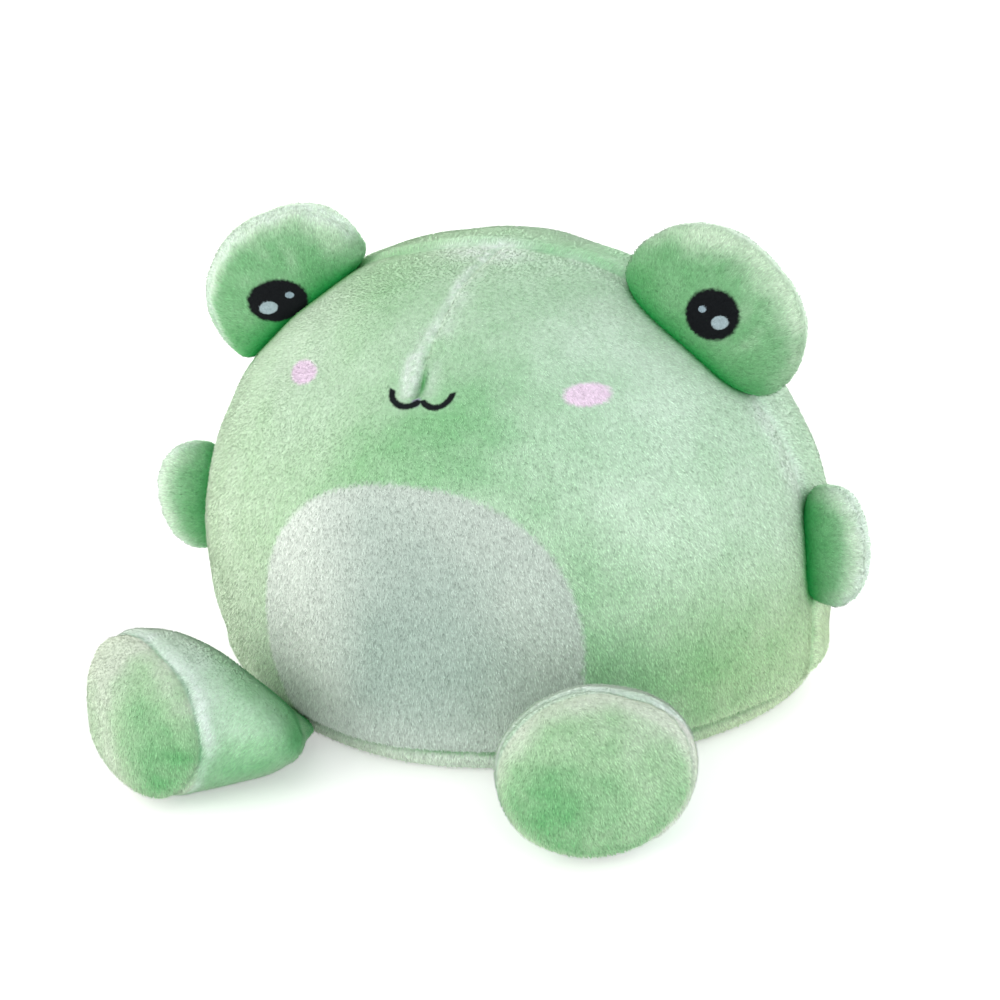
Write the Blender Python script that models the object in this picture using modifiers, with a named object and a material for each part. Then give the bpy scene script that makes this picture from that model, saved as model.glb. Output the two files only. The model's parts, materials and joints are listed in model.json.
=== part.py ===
"""Plush frog: a squat stuffed body with two eye lobes, two arms and two splayed legs.

All sizes are in metres. The frog sits on the floor at z = 0 and faces -Y, so its own left side is +X.
Every stuffed part is made as the sewn toy is: cover panels one fabric thick, held round a filling, and
each limb is pinched flat at its root, where it is caught in a seam of the body and bends.
"""

import math

import bmesh
import bpy
from mathutils import Matrix, Vector

# Body
BODY_WIDTH = 0.165
BODY_HEIGHT = 0.1137
BODY_FRONT_DEPTH = 0.0735
BODY_BACK_DEPTH = 0.0637
BODY_WIDEST_HEIGHT = 0.0336
BODY_SAG = 0.0107  # how far the round underside would hang below the floor if it were not pressed flat
PLAN_ROUND_SHARE = 0.895  # 1 is an ellipse, less is more pointed, more is squarer
CROWN_ROUND_SHARE = 1.03
UNDERSIDE_ROUND_SHARE = 1.915
PERIMETER_SEAM_AHEAD = 0.0086  # the seam of front and back lies this far in front of the widest section
BASE_SEAM_HEIGHT = 0.007

# Forehead dart
DART_WIDTH = 0.0026
DART_DEPTH = 0.0012
DART_END_HEIGHT = 0.089
DART_END_SHARE = 0.4  # of its full width, where it runs out at the mouth

# Eye lobes
EYE_SPREAD_SHARE = 0.634  # of the body's half width, from the middle of the frog to a lobe's root
EYE_LEAN_OUT = math.radians(39)
EYE_LEAN_FORWARD = math.radians(9)
EYE_WIDTH = 0.0500
EYE_RISE = 0.0245
EYE_THICKNESS = 0.0165
EYE_WAIST = 0.0045

# Arms
ARM_HEIGHT_SHARE = 0.38  # of the body's height
ARM_SWEEP_FORWARD = math.radians(17)
ARM_WIDTH = 0.0312
ARM_REACH = 0.0158
ARM_THICKNESS = 0.0130
ARM_WAIST = 0.0065

# Legs
LEG_SPREAD_SHARE = 0.43  # of the body's half width
LEG_SPLAY = math.radians(28.5)
LEG_LENGTH = 0.0385  # root to sole seam
LEG_ROOT_WIDTH = 0.0130
LEG_ROOT_THICKNESS = 0.0034
LEG_ROOT_HEIGHT = 0.0052
LEG_SWELL_SHARE = 1.3  # above 1 the leg stays slim for longer before it swells
LEG_FILL_START = 0.0090  # from the root, where the filling begins
SOLE_WIDTH = 0.0436
SOLE_HEIGHT = 0.0400
SOLE_DOME = 0.0118

# Cloth and clearances
COVER = 0.0022  # short-pile fabric, backing and pile together
GAP = 0.0003
ROOT_GAP = 0.0005  # a limb's root to the body that it bends against
FLOOR_CUT = 0.0005  # what rests on the floor is pressed flat this deep
OVERRUN = 0.01  # how far a cutter reaches past what it cuts

# Meshes: quads round and along each coarse cage
BODY_AROUND, BODY_RINGS = 16, 10
EYE_AROUND, EYE_RINGS = 12, 6
ARM_AROUND, ARM_RINGS = 10, 4
LEG_AROUND, LEG_RINGS = 10, 8
SUBDIVISION = 1
DART_POINTS = 11
DART_BEVEL_STEPS = 2

# The rings of a leg's cage from root to sole seam, then over the dome
LEG_RING_SHARES = (0, 0, 0.16, 0.45, 0.78, 1)
DOME_RING_SHARES = ((0.52, 0.84), (0.88, 0.46), (1, 0))

LOBE_PUFF_SHARE = 1.25  # above 1 a lobe is lens-shaped, with a sharper edge at its seam
LOBE_ROUND_SHARE = 1.05
LOBE_ROOT_ROUND_SHARE = 2

MINKY_GREEN = "AED2AE"
MINKY_SOLE = "A6C6A2"
FILLING_WHITE = "F1F0EA"


def linear(hex_colour):
    """Three linear channels and alpha from an sRGB hex string."""
    channels = [int(hex_colour[i : i + 2], 16) / 255 for i in (0, 2, 4)]
    return [c / 12.92 if c <= 0.04045 else ((c + 0.055) / 1.055) ** 2.4 for c in channels] + [1]


def cloth(name, hex_colour, roughness):
    material = bpy.data.materials.new(name)
    material.use_nodes = True
    surface = material.node_tree.nodes["Principled BSDF"]
    surface.inputs["Base Color"].default_value = linear(hex_colour)
    surface.inputs["Roughness"].default_value = roughness
    surface.inputs["Metallic"].default_value = 0
    material.diffuse_color = linear(hex_colour)
    return material


def signed_power(value, power):
    return math.copysign(abs(value) ** power, value)


# Building blocks

for old in list(bpy.data.objects):
    bpy.data.objects.remove(old, do_unlink=True)

parts = bpy.data.collections.new("plush_frog")
cutters = bpy.data.collections.new("cutters")
bpy.context.scene.collection.children.link(parts)
bpy.context.scene.collection.children.link(cutters)

frog = bpy.data.objects.new("frog", None)
parts.objects.link(frog)


def add_object(name, mesh, parent, collection):
    obj = bpy.data.objects.new(name, mesh)
    collection.objects.link(obj)
    obj.parent = parent
    if collection is cutters:
        obj.hide_render = True
        obj.display_type = "WIRE"
    return obj


def hinge(name, place):
    """An empty on a limb's bending line: its X axis is the hinge axis."""
    empty = add_object(name, None, frog, parts)
    empty.matrix_local = place
    return empty


def face_out(bm):
    if bm.calc_volume(signed=True) < 0:
        bmesh.ops.reverse_faces(bm, faces=bm.faces)


def soft_mesh(name, around, rings, place, low, high):
    """A coarse spherical cage shaped by place, subdivided, then brought to its true extents low to high."""
    cage = bpy.data.meshes.new(name + "_cage")
    bm = bmesh.new()
    bmesh.ops.create_uvsphere(bm, u_segments=around, v_segments=rings, radius=1)
    for vert in bm.verts:
        vert.co = place(vert.co)
    face_out(bm)
    bm.to_mesh(cage)
    bm.free()
    shaper = bpy.data.objects.new(name + "_shaper", cage)
    cutters.objects.link(shaper)
    smooth = shaper.modifiers.new("soft", "SUBSURF")
    smooth.levels = SUBDIVISION
    smooth.render_levels = SUBDIVISION
    mesh = bpy.data.meshes.new_from_object(shaper.evaluated_get(bpy.context.evaluated_depsgraph_get()))
    mesh.name = name
    bpy.data.objects.remove(shaper, do_unlink=True)
    bpy.data.meshes.remove(cage)
    for axis in range(3):
        values = [vert.co[axis] for vert in mesh.vertices]
        least, most = min(values), max(values)
        start = least if low[axis] is None else low[axis]
        end = most if high[axis] is None else high[axis]
        for vert in mesh.vertices:
            vert.co[axis] = start + (vert.co[axis] - least) * (end - start) / (most - least)
    return mesh


def box_cutter(name, low, high, parent):
    mesh = bpy.data.meshes.new(name)
    bm = bmesh.new()
    bmesh.ops.create_cube(bm, size=1)
    for vert in bm.verts:
        vert.co = Vector([low[i] if vert.co[i] < 0 else high[i] for i in range(3)])
    bm.to_mesh(mesh)
    bm.free()
    return add_object(name, mesh, parent, cutters)


def cut(obj, cutter, operation):
    boolean = obj.modifiers.new(operation.lower() + "_" + cutter.name, "BOOLEAN")
    boolean.operation = operation
    boolean.solver = "EXACT"
    boolean.object = cutter


def panel(name, form, fill, regions, parent, material, keep_clear=()):
    """A cover panel: the outer form inside its seams, less the space that the filling takes."""
    obj = add_object(name, form.copy(), parent, parts)
    for region in regions:
        cut(obj, region, "INTERSECT")
    for other in (fill, *keep_clear):
        cut(obj, other, "DIFFERENCE")
    finish(obj, material)
    return obj


def finish(obj, material):
    obj.data.materials.clear()
    obj.data.materials.append(material)
    obj.data.shade_smooth()


green = cloth("minky_green", MINKY_GREEN, 0.9)
sole_green = cloth("minky_sole", MINKY_SOLE, 0.9)
filling = cloth("polyester_filling", FILLING_WHITE, 0.95)


# Body: front and back panels meet in the seam over the crown and down the sides, and the base panel
# closes them just above the floor.


def body_mesh(name, inset):
    """The body's form, inset all round, or grown where inset is negative."""
    half_width = BODY_WIDTH / 2 - inset
    front = BODY_FRONT_DEPTH - inset
    back = BODY_BACK_DEPTH - inset
    rise = BODY_HEIGHT - BODY_WIDEST_HEIGHT - inset
    drop = BODY_WIDEST_HEIGHT + BODY_SAG - inset
    bottom = inset - FLOOR_CUT

    def place(unit):
        turn = math.atan2(unit.y, unit.x)
        round_share = CROWN_ROUND_SHARE if unit.z >= 0 else UNDERSIDE_ROUND_SHARE
        spread = math.hypot(unit.x, unit.y) ** (1 / round_share)
        depth = front if unit.y < 0 else back
        tall = rise if unit.z >= 0 else drop
        return Vector((
            half_width * spread * signed_power(math.cos(turn), 1 / PLAN_ROUND_SHARE),
            depth * spread * signed_power(math.sin(turn), 1 / PLAN_ROUND_SHARE),
            max(BODY_WIDEST_HEIGHT + tall * signed_power(unit.z, 1 / round_share), bottom),
        ))

    low = (-half_width, -front, bottom)
    high = (half_width, back, BODY_HEIGHT - inset)
    return soft_mesh(name, BODY_AROUND, BODY_RINGS, place, low, high)


body_form = body_mesh("body_form", 0)
body_fill = add_object("body_fill_space", body_mesh("body_fill_space", COVER), frog, cutters)
body_clearance = add_object("body_clearance", body_mesh("body_clearance", -ROOT_GAP), frog, cutters)

side_reach = BODY_WIDTH / 2 + OVERRUN
top_reach = BODY_HEIGHT + OVERRUN
front_region = box_cutter(
    "front_region",
    (-side_reach, -BODY_FRONT_DEPTH - OVERRUN, BASE_SEAM_HEIGHT + GAP / 2),
    (side_reach, -PERIMETER_SEAM_AHEAD - GAP / 2, top_reach),
    frog,
)
back_region = box_cutter(
    "back_region",
    (-side_reach, -PERIMETER_SEAM_AHEAD + GAP / 2, BASE_SEAM_HEIGHT + GAP / 2),
    (side_reach, BODY_BACK_DEPTH + OVERRUN, top_reach),
    frog,
)
base_region = box_cutter(
    "base_region",
    (-side_reach, -BODY_FRONT_DEPTH - OVERRUN, 0),
    (side_reach, BODY_BACK_DEPTH + OVERRUN, BASE_SEAM_HEIGHT - GAP / 2),
    frog,
)


def on_body(start, direction):
    """Where a line from outside first meets the body's form."""
    probe = bpy.data.objects.new("probe", body_form)
    cutters.objects.link(probe)
    bpy.context.view_layer.update()
    hit, point, _, _ = probe.ray_cast(Vector(start), Vector(direction))
    bpy.data.objects.remove(probe)
    if not hit:
        raise ValueError(f"no body surface from {start} along {direction}")
    return point


def dart_cutter():
    """A tube that lies half in the cover along the middle of the forehead, from crown seam to mouth."""
    seam_top = on_body((0, -PERIMETER_SEAM_AHEAD, top_reach), (0, 0, -1)).z
    centre = Vector((0, -PERIMETER_SEAM_AHEAD, BODY_WIDEST_HEIGHT))
    end = on_body((0, -BODY_FRONT_DEPTH - OVERRUN, DART_END_HEIGHT), (0, 1, 0)) - centre
    end_turn = math.atan2(-end.y, end.z)
    radius = DART_WIDTH / 2
    curve = bpy.data.curves.new("dart", "CURVE")
    curve.dimensions = "3D"
    curve.bevel_depth = radius
    curve.bevel_resolution = DART_BEVEL_STEPS
    curve.use_fill_caps = True
    line = curve.splines.new("POLY")
    line.points.add(DART_POINTS - 1)
    for i, point in enumerate(line.points):
        turn = end_turn * i / (DART_POINTS - 1)
        outward = Vector((0, -math.sin(turn), math.cos(turn)))
        surface = on_body(centre + outward * (seam_top + OVERRUN), -outward)
        point.co = (*(surface + outward * (radius - DART_DEPTH)), 1)
        point.radius = DART_END_SHARE if i == DART_POINTS - 1 else 1
    drawn = bpy.data.objects.new("dart_line", curve)
    cutters.objects.link(drawn)
    mesh = bpy.data.meshes.new_from_object(drawn.evaluated_get(bpy.context.evaluated_depsgraph_get()))
    bpy.data.objects.remove(drawn, do_unlink=True)
    bm = bmesh.new()
    bm.from_mesh(mesh)
    bmesh.ops.remove_doubles(bm, verts=bm.verts, dist=GAP / 10)
    face_out(bm)
    bm.to_mesh(mesh)
    bm.free()
    return add_object("dart_cutter", mesh, frog, cutters)


panel("body_front_panel", body_form, body_fill, (front_region,), frog, green, (dart_cutter(),))
panel("body_back_panel", body_form, body_fill, (back_region,), frog, green)
panel("body_base_panel", body_form, body_fill, (base_region,), frog, green)
finish(add_object("body_filling", body_mesh("body_filling", COVER + GAP), frog, parts), filling)


# Lobes: an eye lobe or an arm is two like panels, front and back, sewn round a D-shaped edge. Its root is
# the straight side of the D, pinched flat and following the body's own curve.


def lobe_mesh(name, around, rings, half_width, reach, half_thickness, waist, root_radius, inset):
    """A flattened D in a limb's own frame: X along the root, -Y to the front, Z outward."""
    wide = half_width - inset
    thick = half_thickness - inset

    def place(unit):
        turn = math.atan2(unit.y, unit.x)
        share = math.hypot(unit.x, unit.y)
        across = wide * signed_power(math.cos(turn), 1 / LOBE_ROUND_SHARE)
        if unit.y >= 0:
            edge = (reach - inset - waist) * abs(math.sin(turn)) ** (1 / LOBE_ROUND_SHARE)
        else:
            fall = waist - inset + across * across / (2 * root_radius)
            edge = -fall * abs(math.sin(turn)) ** (1 / LOBE_ROOT_ROUND_SHARE)
        return Vector((
            share * across,
            thick * signed_power(unit.z, LOBE_PUFF_SHARE),
            waist + share * edge,
        ))

    low = (-wide, -thick, None)
    high = (wide, thick, reach - inset)
    return soft_mesh(name, around, rings, place, low, high)


def lobe(name, place, around, rings, half_width, reach, half_thickness, waist, root_radius):
    """The front and back panels and the filling of one lobe, on its own hinge."""
    sizes = (around, rings, half_width, reach, half_thickness, waist, root_radius)
    joint = hinge(name + "_hinge", place)
    form = lobe_mesh(name + "_form", *sizes, 0)
    fill = add_object(name + "_fill_space", lobe_mesh(name + "_fill_space", *sizes, COVER), joint, cutters)
    wide = half_width + OVERRUN
    thick = half_thickness + OVERRUN
    tall = reach + OVERRUN
    front = box_cutter(name + "_front_region", (-wide, -thick, -tall), (wide, -GAP / 2, tall), joint)
    back = box_cutter(name + "_back_region", (-wide, GAP / 2, -tall), (wide, thick, tall), joint)
    panel(name + "_front_panel", form, fill, (front,), joint, green, (body_clearance,))
    panel(name + "_back_panel", form, fill, (back,), joint, green, (body_clearance,))
    stuffing = add_object(name + "_filling", lobe_mesh(name + "_filling", *sizes, COVER + GAP), joint, parts)
    cut(stuffing, body_clearance, "DIFFERENCE")
    finish(stuffing, filling)


def eye_place(side):
    spread = side * BODY_WIDTH / 2 * EYE_SPREAD_SHARE
    root = on_body((spread, -PERIMETER_SEAM_AHEAD, top_reach), (0, 0, -1))
    turned = Matrix.Rotation(side * EYE_LEAN_OUT, 4, "Y") @ Matrix.Rotation(EYE_LEAN_FORWARD, 4, "X")
    return Matrix.Translation(root) @ turned @ Matrix.Translation((0, 0, ROOT_GAP))


def arm_place(side):
    height = BODY_HEIGHT * ARM_HEIGHT_SHARE
    root = on_body((side * side_reach, -PERIMETER_SEAM_AHEAD, height), (-side, 0, 0))
    turned = Matrix.Rotation(side * math.pi / 2, 4, "Y") @ Matrix.Rotation(ARM_SWEEP_FORWARD, 4, "X")
    return Matrix.Translation(root) @ turned @ Matrix.Translation((0, 0, ROOT_GAP))


crown_radius = BODY_WIDTH / 2
side_radius = BODY_HEIGHT / 2
eye_sizes = (EYE_AROUND, EYE_RINGS, EYE_WIDTH / 2, EYE_RISE, EYE_THICKNESS / 2, EYE_WAIST, crown_radius)
arm_sizes = (ARM_AROUND, ARM_RINGS, ARM_WIDTH / 2, ARM_REACH, ARM_THICKNESS / 2, ARM_WAIST, side_radius)

for side, word in ((1, "left"), (-1, "right")):
    lobe(word + "_eye", eye_place(side), *eye_sizes)
    lobe(word + "_arm", arm_place(side), *arm_sizes)


# Legs: an inner and an outer panel make a tube that swells from its pinched root, and a round sole panel,
# domed by the filling, closes it.


def leg_mesh(name, inset):
    """A leg in its own frame: -Y along the leg, Z up, with the hinge line at the root's mid-height."""
    start = 0 if inset == 0 else LEG_FILL_START
    bottom = inset - FLOOR_CUT - LEG_ROOT_HEIGHT
    sole_centre = SOLE_HEIGHT / 2 - FLOOR_CUT - LEG_ROOT_HEIGHT

    def ring(level):
        """Distance along, half width, half height and mid-height of the cage's ring at this level."""
        if level < len(LEG_RING_SHARES):
            along = start + (LEG_LENGTH - start) * LEG_RING_SHARES[level]
            swell = math.sin(math.pi / 2 * along / LEG_LENGTH) ** LEG_SWELL_SHARE
            wide = LEG_ROOT_WIDTH + (SOLE_WIDTH - LEG_ROOT_WIDTH) * swell
            tall = LEG_ROOT_THICKNESS + (SOLE_HEIGHT - LEG_ROOT_THICKNESS) * swell
            return along, wide / 2 - inset, tall / 2 - inset, sole_centre * swell
        dome, size = DOME_RING_SHARES[level - len(LEG_RING_SHARES)]
        along = LEG_LENGTH + (SOLE_DOME - inset) * dome
        return along, (SOLE_WIDTH / 2 - inset) * size, (SOLE_HEIGHT / 2 - inset) * size, sole_centre

    def place(unit):
        level = round((math.asin(max(-1, min(1, unit.z))) / math.pi + 1 / 2) * LEG_RINGS)
        turn = math.atan2(unit.y, unit.x)
        along, wide, tall, middle = ring(level)
        pole = level in (0, LEG_RINGS)
        return Vector((
            0 if pole else wide * math.cos(turn),
            -along,
            middle + (0 if pole else tall * math.sin(turn)),
        ))

    low = (inset - SOLE_WIDTH / 2, inset - LEG_LENGTH - SOLE_DOME, bottom)
    high = (SOLE_WIDTH / 2 - inset, -start, bottom + SOLE_HEIGHT - 2 * inset)
    return soft_mesh(name, LEG_AROUND, LEG_RINGS, place, low, high)


def leg_place(side):
    spread = side * BODY_WIDTH / 2 * LEG_SPREAD_SHARE
    root = on_body((spread, -BODY_FRONT_DEPTH - OVERRUN, LEG_ROOT_HEIGHT), (0, 1, 0))
    turned = Matrix.Rotation(side * LEG_SPLAY, 4, "Z")
    return Matrix.Translation(root) @ turned @ Matrix.Translation((0, -ROOT_GAP, 0))


for side, word in ((1, "left"), (-1, "right")):
    name = word + "_leg"
    joint = hinge(name + "_hinge", leg_place(side))
    form = leg_mesh(name + "_form", 0)
    fill = add_object(name + "_fill_space", leg_mesh(name + "_fill_space", COVER), joint, cutters)
    wide = SOLE_WIDTH / 2 + OVERRUN
    tip = LEG_LENGTH + SOLE_DOME + OVERRUN
    floor = -LEG_ROOT_HEIGHT
    top = SOLE_HEIGHT + OVERRUN
    seam = GAP / 2 - LEG_LENGTH
    plus = box_cutter(name + "_plus_region", (GAP / 2, seam, floor), (wide, OVERRUN, top), joint)
    minus = box_cutter(name + "_minus_region", (-wide, seam, floor), (-GAP / 2, OVERRUN, top), joint)
    sole = box_cutter(word + "_sole_region", (-wide, -tip, floor), (wide, -LEG_LENGTH - GAP / 2, top), joint)
    outer, inner = (plus, minus) if side > 0 else (minus, plus)
    panel(name + "_outer_panel", form, fill, (outer,), joint, green, (body_clearance,))
    panel(name + "_inner_panel", form, fill, (inner,), joint, green, (body_clearance,))
    panel(word + "_sole_panel", form, fill, (sole,), joint, sole_green)
    finish(add_object(name + "_filling", leg_mesh(name + "_filling", COVER + GAP), joint, parts), filling)


# The origin goes on the floor under the middle of the whole frog.

bpy.context.view_layer.update()
graph = bpy.context.evaluated_depsgraph_get()
reach = []
for obj in parts.objects:
    if obj.type == "MESH":
        solid = obj.evaluated_get(graph).to_mesh()
        reach += [(obj.matrix_world @ vert.co).y for vert in solid.vertices]
        obj.evaluated_get(graph).to_mesh_clear()
frog.location.y = -(min(reach) + max(reach)) / 2
bpy.context.view_layer.update()
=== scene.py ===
import json
import math

import bmesh
import bpy
import numpy as np
from mathutils import Matrix, Vector, kdtree, noise


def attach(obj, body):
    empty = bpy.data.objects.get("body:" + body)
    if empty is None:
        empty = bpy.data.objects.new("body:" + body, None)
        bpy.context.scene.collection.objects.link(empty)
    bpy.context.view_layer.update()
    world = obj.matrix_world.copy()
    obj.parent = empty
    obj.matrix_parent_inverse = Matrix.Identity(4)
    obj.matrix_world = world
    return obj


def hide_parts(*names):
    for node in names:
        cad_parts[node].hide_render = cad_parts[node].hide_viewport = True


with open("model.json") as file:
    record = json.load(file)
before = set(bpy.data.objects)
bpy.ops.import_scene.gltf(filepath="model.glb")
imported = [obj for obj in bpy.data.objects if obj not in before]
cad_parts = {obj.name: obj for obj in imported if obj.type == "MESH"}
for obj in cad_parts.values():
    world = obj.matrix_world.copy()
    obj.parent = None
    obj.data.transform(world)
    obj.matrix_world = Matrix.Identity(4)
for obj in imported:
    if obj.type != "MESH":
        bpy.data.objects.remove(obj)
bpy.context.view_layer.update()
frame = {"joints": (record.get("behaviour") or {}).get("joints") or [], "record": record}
bpy.ops.object.select_all(action="DESELECT")


# Studio: a white sweep seen as plain white, broad soft lamps on all sides, the strongest above and to the left
# of the camera and behind the toy, and an even pale sky. The camera stands at the photograph's angle.


def linear_colour(hex_colour):
    channels = [int(hex_colour[i : i + 2], 16) / 255 for i in (0, 2, 4)]
    return [c / 12.92 if c <= 0.04045 else ((c + 0.055) / 1.055) ** 2.4 for c in channels] + [1]


def add_node(tree, kind, settings=None, sockets=None):
    """Adds a node. sockets maps an input's name or number to a value or to another node's output."""
    node = tree.nodes.new(kind)
    for key, value in (settings or {}).items():
        setattr(node, key, value)
    for key, value in (sockets or {}).items():
        if isinstance(value, bpy.types.NodeSocket):
            tree.links.new(value, node.inputs[key])
        else:
            node.inputs[key].default_value = value
    return node


def seen_directly(tree):
    """1 where the camera looks, straight, by a mirror or through glass, and 0 for the light that is given."""
    path = add_node(tree, "ShaderNodeLightPath")
    add = {"operation": "ADD", "use_clamp": True}
    sockets = {0: path.outputs["Is Camera Ray"], 1: path.outputs["Is Glossy Ray"]}
    seen = add_node(tree, "ShaderNodeMath", add, sockets)
    sockets = {0: seen.outputs[0], 1: path.outputs["Is Transmission Ray"]}
    return add_node(tree, "ShaderNodeMath", add, sockets).outputs[0]


LOOK_AT_HEIGHT = 0.07
CAMERA_DISTANCE = 0.5228
SHIFT_ACROSS = 0.002064
SHIFT_UP = 0.024926
LAMP_SIZE = 0.9
LAMP_TARGET = Vector((0, 0, 0.05))
SKY_STRENGTH = 0.82
FLOOR_GLOW = 0.36

body_middle_y = next(m for m in frame["record"]["mounts"] if m["name"] == "base")["pos_m"][1]

azimuth, elevation, roll = math.radians(22.009), math.radians(19.985), math.radians(-2.693)
away_x, away_y = math.sin(azimuth) * math.cos(elevation), -math.cos(azimuth) * math.cos(elevation)
away = Vector((away_x, away_y, math.sin(elevation)))
level = Vector((math.cos(azimuth), math.sin(azimuth), 0))
upward = away.cross(level)
across = level * math.cos(roll) + upward * math.sin(roll)
upright = upward * math.cos(roll) - level * math.sin(roll)
look_at = Vector((0, body_middle_y, LOOK_AT_HEIGHT))
camera_spot = look_at + away * CAMERA_DISTANCE - across * SHIFT_ACROSS - upright * SHIFT_UP
bpy.ops.object.camera_add()
camera = bpy.context.object
camera.matrix_world = Matrix.Translation(camera_spot) @ Matrix((across, upright, away)).transposed().to_4x4()
camera.data.lens = 74.1
camera.data.sensor_width = 36
camera.data.clip_start = 0.01
bpy.context.scene.camera = camera

view = bpy.context.scene.view_settings
view.view_transform = "Standard"

for name, spot, power, colour in (
    ("key_lamp", (-0.50, -1.05, 0.50), 4.5, "FFFCF6"),
    ("low_lamp", (0.25, -1.15, 0.10), 2.2, "FFFFFF"),
    ("low_left_lamp", (-0.95, -0.75, 0.12), 2.1, "FFFEFA"),
    ("fill_lamp", (0.70, -1.00, 0.25), 3.3, "F8FCFF"),
    ("left_lamp", (-1.15, 0.15, 0.45), 4.0, "FFFBF2"),
    ("right_lamp", (1.10, 0.60, 0.45), 4.0, "F8FCFF"),
    ("back_lamp", (0.10, 1.05, 0.60), 4.5, "FFFFFF"),
):
    bpy.ops.object.light_add(type="AREA", location=spot)
    lamp = bpy.context.object
    lamp.name = name
    lamp.data.size = LAMP_SIZE
    lamp.data.energy = power
    lamp.data.color = linear_colour(colour)[:3]
    lamp.rotation_euler = (LAMP_TARGET - Vector(spot)).to_track_quat("-Z", "Y").to_euler()

world = bpy.data.worlds.new("studio")
bpy.context.scene.world = world
world.use_nodes = True
tree = world.node_tree
tree.nodes.clear()
sky = add_node(tree, "ShaderNodeBackground", None, {"Color": (1, 1, 1, 1), "Strength": SKY_STRENGTH})
white = add_node(tree, "ShaderNodeBackground", None, {"Color": (1, 1, 1, 1), "Strength": 1.0})
sockets = {0: seen_directly(tree), 1: sky.outputs[0], 2: white.outputs[0]}
mixed = add_node(tree, "ShaderNodeMixShader", None, sockets)
add_node(tree, "ShaderNodeOutputWorld", None, {0: mixed.outputs[0]})

bpy.ops.mesh.primitive_plane_add(size=12)
floor = bpy.context.object
floor.name = "floor"
sweep = bpy.data.materials.new("white_sweep")
sweep.use_nodes = True
tree = sweep.node_tree
tree.nodes.clear()
paper = add_node(tree, "ShaderNodeBsdfDiffuse", None, {"Color": (0.94, 0.94, 0.94, 1)})
glowing = add_node(tree, "ShaderNodeMath", {"operation": "MULTIPLY"}, {0: seen_directly(tree), 1: FLOOR_GLOW})
broad_part = add_node(tree, "ShaderNodeEmission", None, {"Color": (1, 1, 1, 1), "Strength": glowing.outputs[0]})
both = add_node(tree, "ShaderNodeAddShader", None, {0: paper.outputs[0], 1: broad_part.outputs[0]})
add_node(tree, "ShaderNodeOutputMaterial", None, {0: both.outputs[0]})
floor.data.materials.append(sweep)


# Body: a squat bag of short-pile plush, tightly stuffed. Its front and back panels are sewn together over the
# crown and down the sides, and a flat base panel closes them just above the floor. A dart takes in the
# forehead down to the mouth. Belly, cheeks and mouth are printed on the cloth.

BODY_HALF_WIDTH = 0.0825
BODY_FRONT = 0.0735
BODY_BACK = 0.0637
BODY_HEIGHT = 0.1137
WIDEST_HEIGHT = 0.0336
SAG = 0.0107
CROWN_ROUNDNESS = 1.03
BASE_ROUNDNESS = 1.915
PLAN_ROUNDNESS = 0.895
SEAM_Y = -0.0086
BASE_SEAM_Z = 0.0058
CLOTH_STEPS = 20
MOST_SUNK = 0.0003
MOST_ASIDE = 0.0008
COVER_SHADE = 0.4


def points_of(piece):
    flat = np.empty(len(piece.data.vertices) * 3)
    piece.data.vertices.foreach_get("co", flat)
    return flat.reshape(-1, 3)


def set_points(piece, points):
    piece.data.vertices.foreach_set("co", np.ascontiguousarray(points).ravel())
    piece.data.update()


def normals_of(piece):
    flat = np.empty(len(piece.data.vertices) * 3)
    piece.data.vertex_normals.foreach_get("vector", flat)
    return flat.reshape(-1, 3)


def unit_ball(name, cuts):
    """A ball of even quads, radius 1."""
    bpy.ops.mesh.primitive_cube_add(size=2)
    ball = bpy.context.object
    ball.name = name
    ball.data.name = name
    bpy.ops.object.mode_set(mode="EDIT")
    bpy.ops.mesh.select_all(action="SELECT")
    bpy.ops.mesh.subdivide(number_cuts=cuts)
    bpy.ops.transform.tosphere(value=1)
    bpy.ops.object.mode_set(mode="OBJECT")
    points = points_of(ball)
    set_points(ball, points / np.linalg.norm(points, axis=1)[:, None])
    return ball


def power(values, exponent):
    return np.sign(values) * np.abs(values) ** exponent


def ramp(values, low, high):
    share = np.clip((values - low) / (high - low), 0, 1)
    return share * share * (3 - 2 * share)


def bell(values, width):
    return np.exp(-((values / width) ** 2))


def bumps(points, scale, offset=0.0):
    return np.array([noise.noise(Vector(p) * scale + Vector((offset, 0, 0))) for p in points])


def turn_out(piece):
    """Faces point outward, after a form that mirrors its ball."""
    bm = bmesh.new()
    bm.from_mesh(piece.data)
    if bm.calc_volume(signed=True) < 0:
        bmesh.ops.reverse_faces(bm, faces=bm.faces)
    bm.to_mesh(piece.data)
    bm.free()
    piece.data.update()


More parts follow.
